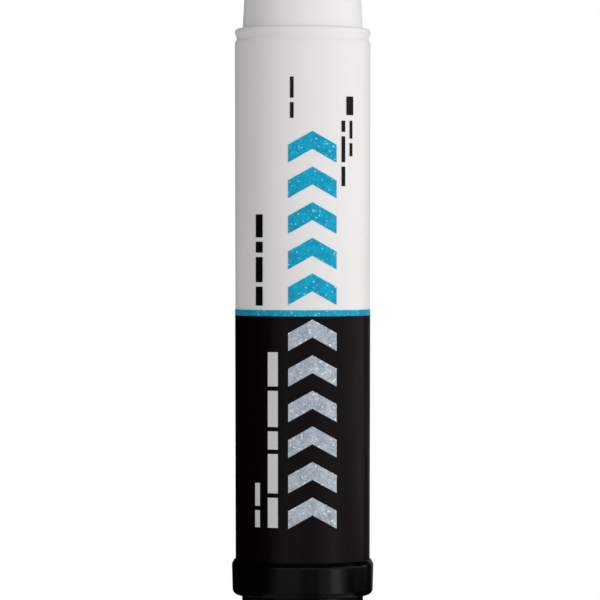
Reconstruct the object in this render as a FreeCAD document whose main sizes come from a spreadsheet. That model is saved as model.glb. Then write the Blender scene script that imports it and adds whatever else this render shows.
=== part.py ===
import FreeCAD, Part
import math
import os
import Sketcher

# Airless toothpaste pump dispenser, standing upright on its black base.
# +Z is up, the origin is the centre of the foot, and the printed front faces -Y.
# From the bottom it is a base cup, a barrel with a follower piston and the paste in it,
# a pump head with its push button and spout, and a pull-off cap over the head.

SIZES = {
    # Barrel, a tube whose outside narrows a little towards the base
    "barrel_length": 137.6,
    "barrel_dia": 34.0,
    "barrel_draft": 0.55,
    "barrel_wall": 1.425,
    "rim_step": 0.5,
    "shoulder_drop": 0.9,
    "shoulder_round": 0.35,
    # Snap joints of the base and the pump head in the barrel
    "snap_depth": 0.3,
    "snap_rise": 0.25,
    "snap_width": 1.2,
    "snap_inset": 2.4,
    # How far a rib, stud or spout runs into the wall that carries it
    "root_depth": 0.3,
    # The most of the room beside an edge that its round may take
    "round_share": 0.95,
    # Clearances
    "seat_gap": 0.1,
    "seal_gap": 0.05,
    "slide_gap": 0.2,
    # Base cup
    "foot_height": 7.5,
    "foot_wall": 1.4,
    "foot_recess": 0.8,
    "foot_rim": 1.7,
    "foot_round": 0.5,
    "base_floor": 1.6,
    "base_plate": 1.4,
    "ring_height": 8.9,
    "ring_wall": 0.83,
    "ring_draft": 0.2,
    "ring_bevel_width": 0.6,
    "ring_bevel_height": 1.1,
    "ring_bevel_round": 1.0,
    "ring_top_round": 0.2,
    "ring_low_round": 1.5,
    "base_plug": 6.0,
    "boss_dia": 7.0,
    "boss_height": 3.2,
    "base_ribs": 6,
    "rib_thickness": 1.0,
    "rib_height": 2.4,
    "vent_count": 3,
    "vent_dia": 1.6,
    "vent_circle": 17.0,
    # Follower piston and its spring steel star
    "follower_start": 7.3,
    "follower_height": 14.0,
    "follower_lip": 1.6,
    "follower_lip_slope": 1.0,
    "follower_waist": 0.45,
    "follower_wall": 1.2,
    "crown_drop": 1.4,
    "crown_thickness": 1.3,
    "stud_dia": 6.4,
    "stud_catch": 0.4,
    "stud_length": 1.7,
    "follower_ribs": 6,
    "star_thickness": 0.35,
    "star_flat_dia": 19.0,
    "star_drop": 1.4,
    "star_claws": 12,
    "star_ring_dia": 16.6,
    "star_slot_inside": 1.1,
    "star_slot_outside": 2.6,
    # Pump housing
    "plug_wall": 1.2,
    "plug_skirt": 0.8,
    "web_drop": 8.7,
    "web_thickness": 1.4,
    "flange_width": 0.4,
    "flange_thickness": 1.0,
    "pump_wall": 1.2,
    "pump_lead": 0.95,
    "port_dia": 5.0,
    "seal_groove": 0.8,
    "seal_width": 1.1,
    "seal_slack": 0.02,
    # Collar with the bead that shows between the barrel and the cap
    "bead_slope": 1.6,
    "bead_band": 1.1,
    "bead_round": 1.0,
    "spigot_gap": 0.25,
    "spigot_height": 5.0,
    "sleeve_wall": 1.6,
    "sleeve_depth": 2.6,
    "sleeve_snap": 0.5,
    "lip_overhang": 0.7,
    "lip_thickness": 1.5,
    "key_width": 2.4,
    # Push button with its spout
    "stroke": 5.0,
    "button_wall": 1.2,
    "button_plate": 1.4,
    "button_clearance": 1.3,
    "skirt_clearance": 1.9,
    "button_bead": 1.4,
    "button_bead_ramp": 0.3,
    "button_round": 0.9,
    "socket_wall": 1.25,
    "socket_depth": 5.2,
    "channel_dia": 5.0,
    "spout_tilt": 45.0,
    "spout_dia": 8.6,
    "spout_root": 3.6,
    "spout_reach": 10.2,
    "mouth_wall": 0.7,
    "mouth_depth": 2.3,
    "valve_thickness": 0.9,
    "slit_length": 3.4,
    "slit_width": 0.12,
    "nozzle_wall": 1.2,
    "nozzle_flare": 0.5,
    "grip_count": 3,
    "grip_pitch": 1.6,
    "grip_width": 0.8,
    "grip_height": 0.4,
    "grip_length": 10.0,
    "grip_step": 1.3,
    "grip_start": 5.3,
    # Stem and pump piston
    "piston_width": 3.5,
    "stem_wall": 1.5,
    "stem_foot": 1.2,
    "stem_foot_thickness": 1.2,
    "stem_catch": 0.5,
    "stem_catch_height": 0.8,
    "piston_height": 4.6,
    "piston_lip": 0.85,
    "piston_waist": 0.25,
    "piston_hub_wall": 1.25,
    "piston_web": 1.0,
    # Inlet valve and its cage
    "disc_overlap": 1.0,
    "disc_thickness": 0.7,
    "disc_lift": 0.7,
    "disc_hub_gap": 0.8,
    "disc_hub_height": 0.9,
    "cage_gap": 0.7,
    "cage_arms": 3,
    "cage_arm_width": 1.4,
    "cage_arm_thickness": 0.6,
    "cage_hub": 3.0,
    # Return spring
    "spring_wire": 0.8,
    "spring_gap": 0.35,
    "spring_turns": 7,
    # Cap
    "cap_step": 1.95,
    "cap_draft": 3.2,
    "cap_headroom": 5.05,
    "cap_wall": 1.2,
    "cap_roof": 1.3,
    "cap_round": 1.8,
    "cap_lip_round": 0.25,
    "cap_bead_height": 1.5,
    "cap_bead_width": 1.2,
    "cap_bead_slope": 0.4,
    # Printed fields on the barrel, their starts counted up from the barrel's lower end
    "ink_gap": 0.04,
    "ink_depth": 0.06,
    "ink_tuck": 3.4,
    "stripe_start": 68.5,
    "stripe_height": 1.5,
    "motif_across": 2.4,
    "motif_width": 12.0,
    "motif_rise": 3.4,
    "motif_stroke": 4.4,
    "motif_pitch": 8.8,
    "silver_start": 15.9,
    "silver_margin": 0.8,
    "blue_start": 1.3,
    "blue_margin": 20.0,
    "bar_gap": 1.1,
    "bar_spread": 0.35,
    "bar_turn": 130.0,
    # Columns of bars on the black field, counted up from the barrel's lower end
    "broad_across": -7.4,
    "broad_width": 2.5,
    "broad_start": 16.1,
    "broad_length": 43.5,
    "broad_count": 5,
    "slim_across": -11.2,
    "slim_width": 1.2,
    "slim_start": 16.1,
    "slim_length": 11.0,
    "slim_count": 2,
    # Column of bars above the stripe, counted up from it
    "side_across": -10.8,
    "side_width": 1.7,
    "side_start": 1.1,
    "side_length": 22.6,
    "side_count": 4,
    # Columns of bars near the top, counted down from the barrel's rim
    "crest_across": -2.7,
    "crest_width": 0.9,
    "crest_drop": 20.1,
    "crest_length": 10.2,
    "crest_count": 2,
    "inner_across": 10.1,
    "inner_width": 0.9,
    "inner_drop": 36.9,
    "inner_length": 16.2,
    "inner_count": 3,
    "outer_across": 12.0,
    "outer_width": 0.7,
    "outer_drop": 29.5,
    "outer_length": 8.8,
    "outer_count": 2,
    "mark_across": 11.7,
    "mark_width": 1.7,
    "mark_drop": 19.3,
    "mark_length": 4.6,
    "mark_count": 1,
}

doc = FreeCAD.newDocument("toothpaste_dispenser")
sheet = doc.addObject("Spreadsheet::Sheet", "sizes")
for row, (alias, number) in enumerate(SIZES.items(), start=1):
    sheet.set(f"A{row}", alias)
    sheet.set(f"B{row}", str(number))
    sheet.setAlias(f"B{row}", alias)
doc.recompute()


def amount(expression):
    """The number that an expression of the sheet's sizes has."""
    found = sheet.evalExpression(str(expression))
    return float(found.Value) if hasattr(found, "Value") else float(found)


def whole(alias):
    """A whole number of the sheet."""
    return int(round(amount(f"sizes.{alias}")))


def half(alias):
    """The radius of a diameter of the sheet, as an expression."""
    return f"(sizes.{alias} / 2)"


# Radii that several pieces share, as expressions of the sheet's sizes
BARREL_TOP_R = half("barrel_dia")
BARREL_LOW_R = "((sizes.barrel_dia - sizes.barrel_draft) / 2)"
RIM_R = f"({BARREL_TOP_R} - sizes.rim_step)"
BORE_R = f"({BARREL_LOW_R} - sizes.barrel_wall)"
SEAT_R = f"({BORE_R} - sizes.seat_gap)"
LIP_R = f"({BORE_R} - sizes.seal_gap)"
WELL_R = f"({SEAT_R} - sizes.plug_wall)"
SLEEVE_R = f"({WELL_R} - sizes.seat_gap)"
GUIDE_R = f"({SLEEVE_R} - sizes.sleeve_wall)"
COLLAR_LIP_R = f"({GUIDE_R} - sizes.lip_overhang)"
BUTTON_R = f"({COLLAR_LIP_R} - sizes.slide_gap)"
BUTTON_BORE_R = f"({BUTTON_R} - sizes.button_wall)"
SPRING_R = f"({BUTTON_BORE_R} - sizes.spring_gap - sizes.spring_wire / 2)"
PUMP_R = f"({SPRING_R} - sizes.spring_wire / 2 - sizes.spring_gap)"
PUMP_BORE_R = f"({PUMP_R} - sizes.pump_wall)"
STEM_R = f"({PUMP_BORE_R} - sizes.piston_width)"
STEM_BORE_R = f"({STEM_R} - sizes.stem_wall)"
MOUTH_R = f"({half('spout_dia')} - sizes.mouth_wall)"
PORT_R = half("port_dia")
DISC_R = f"({PORT_R} + sizes.disc_overlap)"
CAGE_BORE_R = f"({DISC_R} + sizes.cage_gap)"
CAGE_R = f"({PUMP_BORE_R} - sizes.seat_gap)"
STUD_R = half("stud_dia")

# Heights that several pieces share
RING_TOP = "(sizes.foot_height + sizes.ring_height)"
BARREL_LOW = "(sizes.foot_height + sizes.base_floor)"
RIM = f"({BARREL_LOW} + sizes.barrel_length)"
SHOULDER = f"({RIM} - sizes.shoulder_drop)"
WEB_LOW = f"({RIM} - sizes.web_drop)"
WEB_HIGH = f"({WEB_LOW} + sizes.web_thickness)"
PLUG_LOW = f"({WEB_LOW} - sizes.plug_skirt)"
FLANGE_TOP = f"({RIM} + sizes.flange_thickness)"
DECK = f"({RIM} + sizes.bead_slope + sizes.bead_band)"
SPIGOT_TOP = f"({DECK} + sizes.spigot_height)"
COLLAR_LIP_LOW = f"({SPIGOT_TOP} - sizes.lip_thickness)"
DISC_RAISED = f"({WEB_HIGH} + sizes.disc_thickness + sizes.disc_lift)"
ARM_LOW = f"({DISC_RAISED} + sizes.seat_gap)"
CAGE_TOP = f"({ARM_LOW} + sizes.cage_arm_thickness)"
STEM_LOW = f"({CAGE_TOP} + sizes.stroke + sizes.slide_gap)"
PISTON_LOW = f"({STEM_LOW} + sizes.stem_foot_thickness + sizes.seal_gap)"
PISTON_TOP = f"({PISTON_LOW} + sizes.piston_height)"
PUMP_TOP = f"({PISTON_TOP} + sizes.pump_lead)"
BUTTON_UNDER = f"({PUMP_TOP} + sizes.stroke + sizes.button_clearance)"
BUTTON_TOP = f"({BUTTON_UNDER} + sizes.button_plate)"
SPOUT_TOP = (
    f"({BUTTON_UNDER} + sizes.spout_reach * cos(sizes.spout_tilt)"
    " + sizes.spout_dia / 2 * sin(sizes.spout_tilt))"
)
CAP_TOP = f"({SPOUT_TOP} + sizes.cap_headroom + sizes.cap_roof)"
FOLLOWER_LOW = f"({BARREL_LOW} + sizes.base_plug + sizes.follower_start)"
FOLLOWER_TOP = f"({FOLLOWER_LOW} + sizes.follower_height)"
CROWN = f"({FOLLOWER_TOP} - sizes.crown_drop)"
FIELD_LOW = f"({RING_TOP} - sizes.ink_tuck)"
STRIPE_LOW = f"({BARREL_LOW} + sizes.stripe_start)"
STRIPE_TOP = f"({STRIPE_LOW} + sizes.stripe_height)"
BASE_GROOVE = f"({BARREL_LOW} + sizes.snap_inset)"
HEAD_GROOVE = f"({RIM} - sizes.snap_inset - sizes.snap_width)"
SLEEVE_LOW = f"({RIM} - sizes.sleeve_depth)"
SLEEVE_GROOVE = f"({SLEEVE_LOW} + sizes.sleeve_snap)"


def barrel_radius(at):
    """The radius of the barrel's outside at a height, as an expression."""
    return f"({BARREL_LOW_R} + sizes.barrel_draft / 2 * ({at} - {BARREL_LOW}) / ({SHOULDER} - {BARREL_LOW}))"


def cap_radius(at):
    """The radius of the cap's outside at a height, as an expression."""
    return f"({BARREL_TOP_R} - sizes.cap_step - ({at} - {DECK}) * tan(sizes.cap_draft))"


def spigot_radius(at):
    """The radius of the collar's spigot inside the cap at a height, as an expression."""
    return f"({cap_radius(at)} - sizes.cap_wall - sizes.spigot_gap)"


def origin_feature(body, role):
    """A plane or axis of a body's own origin."""
    return next(f for f in body.Origin.OriginFeatures if f.Role == role)


def new_body(name):
    """A piece of the dispenser; its label names its file."""
    body = doc.addObject("PartDesign::Body", name)
    body.Label = name
    return body


def new_sketch(body, name, role, height=None):
    """A sketch on a plane of the body's origin, at a height above it where one is given."""
    sketch = body.newObject("Sketcher::SketchObject", name)
    sketch.AttachmentSupport = [(origin_feature(body, role), "")]
    sketch.MapMode = "FlatFace"
    if height is not None:
        sketch.setExpression("AttachmentOffset.Base.z", height)
    return sketch


def hold(sketch, kind, geometry, point, expression):
    """Ties one coordinate of a sketch point to an expression."""
    place = sketch.addConstraint(Sketcher.Constraint(kind, -1, 1, geometry, point, amount(expression)))
    sketch.setExpression(f"Constraints[{place}]", str(expression))


def add_outline(sketch, points):
    """A closed outline through points, each a pair of expressions: across and up."""
    first = sketch.GeometryCount
    places = [FreeCAD.Vector(amount(across), amount(up), 0) for across, up in points]
    for start, end in zip(places, places[1:] + places[:1]):
        sketch.addGeometry(Part.LineSegment(start, end), False)
    for i, (across, up) in enumerate(points):
        following = first + (i + 1) % len(points)
        sketch.addConstraint(Sketcher.Constraint("Coincident", first + i, 2, following, 1))
        hold(sketch, "DistanceX", first + i, 1, across)
        hold(sketch, "DistanceY", first + i, 1, up)


def add_rectangle(sketch, left, right, low, high):
    """A rectangle between four expressions."""
    add_outline(sketch, [(left, low), (right, low), (right, high), (left, high)])


def add_circle(sketch, across, up, diameter):
    """A circle about a point, all three as expressions."""
    centre = FreeCAD.Vector(amount(across), amount(up), 0)
    ring = sketch.addGeometry(Part.Circle(centre, FreeCAD.Vector(0, 0, 1), amount(diameter) / 2), False)
    hold(sketch, "DistanceX", ring, 3, across)
    hold(sketch, "DistanceY", ring, 3, up)
    place = sketch.addConstraint(Sketcher.Constraint("Diameter", ring, amount(diameter)))
    sketch.setExpression(f"Constraints[{place}]", str(diameter))


def turn(body, name, points, cut=False):
    """Turns an outline of radius and height about the axis, as material or as a cut."""
    sketch = new_sketch(body, name + "_outline", "XZ_Plane")
    add_outline(sketch, points)
    turned = body.newObject("PartDesign::Groove" if cut else "PartDesign::Revolution", name)
    turned.Profile = sketch
    turned.ReferenceAxis = (sketch, ["V_Axis"])
    turned.Angle = 360
    doc.recompute()
    return turned


def raise_from(body, name, sketch, length, cut=False, reverse=False):
    """Pads or pockets a sketch by a length that is an expression."""
    raised = body.newObject("PartDesign::Pocket" if cut else "PartDesign::Pad", name)
    raised.Profile = sketch
    raised.setExpression("Length", length)
    raised.Reversed = reverse
    doc.recompute()
    return raised


def spread_round(body, name, feature, number):
    """Repeats a feature evenly round the axis."""
    pattern = body.newObject("PartDesign::PolarPattern", name)
    pattern.Originals = [feature]
    pattern.Axis = (origin_feature(body, "Z_Axis"), [""])
    pattern.Angle = 360
    pattern.setExpression("Occurrences", number)
    body.Tip = pattern
    doc.recompute()
    return pattern


def rim_edges(shape, radius, height):
    """The names of the circular edges of a radius at a height, both as expressions."""
    found = []
    for i, edge in enumerate(shape.Edges, start=1):
        circle = edge.Curve
        if not isinstance(circle, Part.Circle):
            continue
        if abs(circle.Radius - amount(radius)) < 1e-4 and abs(circle.Center.z - amount(height)) < 1e-4:
            found.append(f"Edge{i}")
    return found


def round_rim(body, name, radius, height, fillet, room):
    """Rounds the circular edges of a radius at a height, within the room beside them."""
    base = body.Tip
    rounded = body.newObject("PartDesign::Fillet", name)
    rounded.Base = (base, rim_edges(base.Shape, radius, height))
    rounded.setExpression("Radius", f"min({fillet}; sizes.round_share * ({room}))")
    doc.recompute()
    return rounded


def snap_bead(body, name, radius, low):
    """A bead on a plug that clicks into a groove; low is the groove's lower edge."""
    turn(body, name, [
        (f"{radius} - sizes.snap_rise", f"{low} + sizes.seat_gap"),
        (radius, f"{low} + sizes.seat_gap"),
        (f"{radius} + sizes.snap_rise", f"{low} + sizes.snap_width / 2"),
        (radius, f"{low} + sizes.snap_width - sizes.seat_gap"),
        (f"{radius} - sizes.snap_rise", f"{low} + sizes.snap_width - sizes.seat_gap"),
    ])


def snap_groove(body, name, radius, low):
    """The groove inside a bore that a bead clicks into."""
    turn(body, name, [
        (f"{radius} - sizes.snap_depth", low),
        (f"{radius} + sizes.snap_depth", low),
        (f"{radius} + sizes.snap_depth", f"{low} + sizes.snap_width"),
        (f"{radius} - sizes.snap_depth", f"{low} + sizes.snap_width"),
    ], cut=True)


def make_barrel():
    """The tube that holds the paste, open at both ends, with a snap groove inside each end."""
    body = new_body("barrel")
    turn(body, "barrel_wall", [
        (BARREL_LOW_R, BARREL_LOW),
        (BARREL_TOP_R, SHOULDER),
        (RIM_R, RIM),
        (BORE_R, RIM),
        (BORE_R, BARREL_LOW),
    ])
    snap_groove(body, "base_groove", BORE_R, BASE_GROOVE)
    snap_groove(body, "head_groove", BORE_R, HEAD_GROOVE)
    round_rim(
        body, "shoulder_edge", BARREL_TOP_R, SHOULDER,
        "sizes.shoulder_round", "sizes.shoulder_drop",
    )
    return body


def make_base_cup():
    """The black base: a ring round the barrel's end, a plug inside it and a narrower foot below."""
    body = new_body("base_cup")
    inside = f"({SEAT_R} - sizes.foot_wall)"
    recess = f"({SEAT_R} - sizes.foot_rim)"
    ring_bore = f"({barrel_radius(RING_TOP)} + sizes.ink_gap + sizes.ink_depth + sizes.seat_gap)"
    ring_r = f"({ring_bore} + sizes.ring_wall)"
    ring_low_r = f"({ring_r} - sizes.ring_draft)"
    bevel_r = f"({ring_r} - sizes.ring_bevel_width)"
    bevel_low = f"({RING_TOP} - sizes.ring_bevel_height)"
    plate_top = "(sizes.foot_recess + sizes.base_plate)"
    turn(body, "cup_wall", [
        (SEAT_R, "0"),
        (SEAT_R, "sizes.foot_height"),
        (ring_low_r, "sizes.foot_height"),
        (ring_r, bevel_low),
        (bevel_r, RING_TOP),
        (ring_bore, RING_TOP),
        (ring_bore, BARREL_LOW),
        (SEAT_R, BARREL_LOW),
        (SEAT_R, f"{BARREL_LOW} + sizes.base_plug"),
        (inside, f"{BARREL_LOW} + sizes.base_plug"),
        (inside, plate_top),
        ("0", plate_top),
        ("0", "sizes.foot_recess"),
        (recess, "sizes.foot_recess"),
        (recess, "0"),
    ])
    snap_bead(body, "plug_bead", SEAT_R, BASE_GROOVE)
    boss = new_sketch(body, "boss_outline", "XY_Plane", plate_top)
    add_circle(boss, "0", "0", "sizes.boss_dia")
    raise_from(body, "boss", boss, "sizes.boss_height")
    rib = new_sketch(body, "rib_outline", "XY_Plane", plate_top)
    side = "sizes.rib_thickness / 2"
    add_rectangle(
        rib,
        "sizes.boss_dia / 2 - sizes.root_depth",
        f"{inside} + sizes.root_depth",
        f"-{side}",
        side,
    )
    spread_round(body, "ribs", raise_from(body, "rib", rib, "sizes.rib_height"), "sizes.base_ribs")
    vent = new_sketch(body, "vent_outline", "XY_Plane", plate_top)
    turned_by = "(180 / sizes.base_ribs)"
    add_circle(
        vent,
        f"sizes.vent_circle / 2 * cos({turned_by})",
        f"sizes.vent_circle / 2 * sin({turned_by})",
        "sizes.vent_dia",
    )
    vents = raise_from(body, "vent", vent, "sizes.base_plate", cut=True)
    spread_round(body, "vents", vents, "sizes.vent_count")
    flat_left = "(sizes.ring_wall - sizes.ring_bevel_width)"
    round_rim(body, "ring_top_edge", bevel_r, RING_TOP, "sizes.ring_top_round", flat_left)
    round_rim(
        body, "ring_bevel_edge", ring_r, bevel_low,
        "sizes.ring_bevel_round", "sizes.ring_bevel_height",
    )
    round_rim(
        body, "ring_low_edge", ring_low_r, "sizes.foot_height",
        "sizes.ring_low_round", f"{ring_low_r} - {SEAT_R}",
    )
    round_rim(body, "foot_edge", SEAT_R, "0", "sizes.foot_round", "sizes.foot_rim")
    return body


def make_follower():
    """The piston that follows the paste up the barrel, a cup with two sealing lips and a stud below."""
    body = new_body("follower_piston")
    low = FOLLOWER_LOW
    waist = f"({LIP_R} - sizes.follower_waist)"
    inside = f"({waist} - sizes.follower_wall)"
    under_crown = f"({CROWN} - sizes.crown_thickness)"
    turn(body, "follower_cup", [
        (LIP_R, low),
        (LIP_R, f"{low} + sizes.follower_lip"),
        (waist, f"{low} + sizes.follower_lip + sizes.follower_lip_slope"),
        (waist, f"{FOLLOWER_TOP} - sizes.follower_lip - sizes.follower_lip_slope"),
        (LIP_R, f"{FOLLOWER_TOP} - sizes.follower_lip"),
        (LIP_R, FOLLOWER_TOP),
        (f"{LIP_R} - sizes.follower_wall / 2", FOLLOWER_TOP),
        (f"{waist} - sizes.follower_wall / 2", CROWN),
        ("0", CROWN),
        ("0", under_crown),
        (inside, under_crown),
        (f"{inside} + sizes.follower_waist", low),
    ])
    stud_low = f"({low} - sizes.stud_length)"
    stud_top = f"({under_crown} + sizes.root_depth)"
    catch = f"({low} - sizes.star_thickness - sizes.seat_gap * 2)"
    turn(body, "stud", [
        ("0", stud_top),
        (STUD_R, stud_top),
        (STUD_R, catch),
        (f"{STUD_R} + sizes.stud_catch", catch),
        (STUD_R, stud_low),
        ("0", stud_low),
    ])
    rib = new_sketch(body, "stiffener_outline", "XZ_Plane")
    add_rectangle(
        rib,
        f"{STUD_R} - sizes.root_depth",
        f"{inside} + sizes.follower_waist + sizes.root_depth",
        low,
        stud_top,
    )
    stiffener = raise_from(body, "stiffener", rib, "sizes.rib_thickness")
    stiffener.Midplane = True
    doc.recompute()
    spread_round(body, "stiffeners", stiffener, "sizes.follower_ribs")
    return body


def make_star():
    """The spring steel star on the follower's stud, whose claws let it rise and not fall back."""
    body = new_body("grip_star")
    top = f"({FOLLOWER_LOW} - sizes.seat_gap)"
    flat = half("star_flat_dia")
    hole = f"({STUD_R} + sizes.seat_gap)"
    turn(body, "star_sheet", [
        (hole, top),
        (flat, top),
        (LIP_R, f"{top} - sizes.star_drop"),
        (LIP_R, f"{top} - sizes.star_drop - sizes.star_thickness"),
        (flat, f"{top} - sizes.star_thickness"),
        (hole, f"{top} - sizes.star_thickness"),
    ])
    slot = new_sketch(body, "slot_outline", "XY_Plane", top)
    inside, outside = half("star_slot_inside"), half("star_slot_outside")
    past = f"({LIP_R} + sizes.root_depth)"
    add_outline(slot, [
        (half("star_ring_dia"), f"-{inside}"),
        (past, f"-{outside}"),
        (past, outside),
        (half("star_ring_dia"), inside),
    ])
    depth = "sizes.star_drop + 2 * sizes.star_thickness"
    cut = raise_from(body, "slot", slot, depth, cut=True)
    spread_round(body, "slots", cut, "sizes.star_claws")
    return body


def make_paste():
    """The toothpaste, which fills the barrel from the follower's crown to the pump head."""
    body = new_body("toothpaste")
    lip_inside = f"({LIP_R} - sizes.follower_wall / 2 - sizes.seal_gap)"
    crown_inside = f"({LIP_R} - sizes.follower_waist - sizes.follower_wall / 2 - sizes.seal_gap)"
    turn(body, "paste_column", [
        ("0", f"{CROWN} + sizes.seal_gap"),
        (crown_inside, f"{CROWN} + sizes.seal_gap"),
        (lip_inside, f"{FOLLOWER_TOP} + sizes.seal_gap"),
        (LIP_R, f"{FOLLOWER_TOP} + sizes.seal_gap"),
        (LIP_R, f"{PLUG_LOW} - sizes.seal_gap"),
        (f"{WELL_R} - sizes.seal_gap", f"{PLUG_LOW} - sizes.seal_gap"),
        (f"{WELL_R} - sizes.seal_gap", f"{WEB_LOW} - sizes.seal_gap"),
        ("0", f"{WEB_LOW} - sizes.seal_gap"),
    ])
    return body


def make_housing():
    """The pump housing: a plug in the barrel's mouth, a web with the inlet port and the pump cylinder."""
    body = new_body("pump_housing")
    flange_r = f"({BORE_R} + sizes.flange_width)"
    turn(body, "housing_wall", [
        (SEAT_R, PLUG_LOW),
        (SEAT_R, RIM),
        (flange_r, RIM),
        (flange_r, FLANGE_TOP),
        (WELL_R, FLANGE_TOP),
        (WELL_R, WEB_HIGH),
        (PUMP_R, WEB_HIGH),
        (PUMP_R, PUMP_TOP),
        (PUMP_BORE_R, PUMP_TOP),
        (PUMP_BORE_R, WEB_HIGH),
        (PORT_R, WEB_HIGH),
        (PORT_R, WEB_LOW),
        (WELL_R, WEB_LOW),
        (WELL_R, PLUG_LOW),
    ])
    groove_low = f"({WEB_LOW} + sizes.web_thickness / 2 - sizes.seal_width / 2)"
    turn(body, "seal_groove", [
        (f"{SEAT_R} - sizes.seal_groove", groove_low),
        (f"{SEAT_R} + sizes.seal_groove", groove_low),
        (f"{SEAT_R} + sizes.seal_groove", f"{groove_low} + sizes.seal_width"),
        (f"{SEAT_R} - sizes.seal_groove", f"{groove_low} + sizes.seal_width"),
    ], cut=True)
    snap_bead(body, "housing_bead", SEAT_R, HEAD_GROOVE)
    snap_groove(body, "collar_groove", WELL_R, SLEEVE_GROOVE)
    return body


def make_seal():
    """The rubber ring that seals the pump housing in the barrel."""
    seal = doc.addObject("Part::Torus", "head_seal")
    seal.Label = "head_seal"
    groove_r = f"({SEAT_R} - sizes.seal_groove)"
    section = f"({BORE_R} - {groove_r} - 2 * sizes.seal_slack)"
    seal.setExpression("Radius2", f"{section} / 2")
    seal.setExpression("Radius1", f"{groove_r} + sizes.seal_slack + {section} / 2")
    seal.setExpression("Placement.Base.z", f"{WEB_LOW} + sizes.web_thickness / 2")
    return seal


def make_collar():
    """The collar: the bead on top of the barrel, the cap's spigot and the button's guide sleeve."""
    body = new_body("collar")
    over_flange = f"({BORE_R} + sizes.flange_width + sizes.seat_gap)"
    turn(body, "collar_wall", [
        (RIM_R, RIM),
        (BARREL_TOP_R, f"{RIM} + sizes.bead_slope"),
        (BARREL_TOP_R, DECK),
        (spigot_radius(DECK), DECK),
        (spigot_radius(SPIGOT_TOP), SPIGOT_TOP),
        (COLLAR_LIP_R, SPIGOT_TOP),
        (COLLAR_LIP_R, COLLAR_LIP_LOW),
        (GUIDE_R, COLLAR_LIP_LOW),
        (GUIDE_R, SLEEVE_LOW),
        (SLEEVE_R, SLEEVE_LOW),
        (SLEEVE_R, FLANGE_TOP),
        (over_flange, FLANGE_TOP),
        (over_flange, RIM),
    ])
    snap_bead(body, "sleeve_bead", SLEEVE_R, SLEEVE_GROOVE)
    slot = new_sketch(body, "key_slot_outline", "XY_Plane", COLLAR_LIP_LOW)
    side = "(sizes.key_width / 2 + sizes.slide_gap)"
    add_rectangle(slot, f"-{side}", side, f"{COLLAR_LIP_R} - sizes.key_width", GUIDE_R)
    raise_from(body, "key_slot", slot, "sizes.lip_thickness", cut=True, reverse=True)
    round_rim(body, "bead_edge", BARREL_TOP_R, DECK, "sizes.bead_round", "sizes.bead_band")
    return body


def make_button():
    """The push button: a skirt with a stop bead, a socket for the stem and a spout that leans forward."""
    body = new_body("push_button")
    skirt_low = f"({WEB_HIGH} + sizes.stroke + sizes.skirt_clearance)"
    bead_top = f"({COLLAR_LIP_LOW} - sizes.seat_gap)"
    bead_low = f"({bead_top} - sizes.button_bead)"
    bead_r = f"({GUIDE_R} - sizes.slide_gap)"
    socket_hole = f"({STEM_R} + sizes.seal_gap)"
    socket_r = f"({socket_hole} + sizes.socket_wall)"
    socket_low = f"({BUTTON_UNDER} - sizes.socket_depth)"
    turn(body, "button_shell", [
        ("0", BUTTON_TOP),
        (BUTTON_R, BUTTON_TOP),
        (BUTTON_R, bead_top),
        (bead_r, bead_top),
        (bead_r, f"{bead_low} + sizes.button_bead_ramp"),
        (BUTTON_R, bead_low),
        (BUTTON_R, skirt_low),
        (BUTTON_BORE_R, skirt_low),
        (BUTTON_BORE_R, BUTTON_UNDER),
        (socket_r, BUTTON_UNDER),
        (socket_r, socket_low),
        ("0", socket_low),
    ])
    round_rim(body, "button_edge", BUTTON_R, BUTTON_TOP, "sizes.button_round", "sizes.button_plate")
    key = new_sketch(body, "key_outline", "XY_Plane", bead_top)
    side = half("key_width")
    add_rectangle(key, f"-{side}", side, f"{BUTTON_R} - sizes.root_depth", f"{bead_r} - sizes.seat_gap")
    raise_from(body, "key", key, f"{BUTTON_UNDER} - {bead_top}")
    spout = tilted_sketch(body, "spout_outline", "-sizes.spout_root")
    add_circle(spout, "0", "0", "sizes.spout_dia")
    raise_from(body, "spout", spout, "sizes.spout_root + sizes.spout_reach")
    below_spout = f"({BUTTON_UNDER} - sizes.spout_root - sizes.spout_dia)"
    turn(body, "stem_socket", [
        ("0", below_spout),
        (socket_hole, below_spout),
        (socket_hole, BUTTON_UNDER),
        ("0", BUTTON_UNDER),
    ], cut=True)
    rise = new_sketch(body, "riser_outline", "XY_Plane", BUTTON_UNDER)
    add_circle(rise, "0", "0", "sizes.channel_dia")
    riser = f"{half('channel_dia')} * sin(sizes.spout_tilt)"
    raise_from(body, "riser", rise, riser, cut=True, reverse=True)
    channel = tilted_sketch(body, "channel_outline", "0")
    add_circle(channel, "0", "0", "sizes.channel_dia")
    raise_from(body, "channel", channel, "sizes.spout_reach", cut=True, reverse=True)
    mouth = tilted_sketch(body, "mouth_outline", "sizes.spout_reach - sizes.mouth_depth")
    add_circle(mouth, "0", "0", f"2 * {MOUTH_R}")
    raise_from(body, "mouth", mouth, "sizes.mouth_depth", cut=True, reverse=True)
    grip = new_sketch(body, "grip_outline", "XY_Plane", f"{BUTTON_TOP} - sizes.root_depth")
    for i in range(whole("grip_count")):
        start = f"(sizes.grip_start + {i} * sizes.grip_pitch)"
        side = f"((sizes.grip_length - {i} * sizes.grip_step) / 2)"
        add_rectangle(grip, f"-{side}", side, start, f"{start} + sizes.grip_width")
    raise_from(body, "grips", grip, "sizes.grip_height + sizes.root_depth")
    return body


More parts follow.
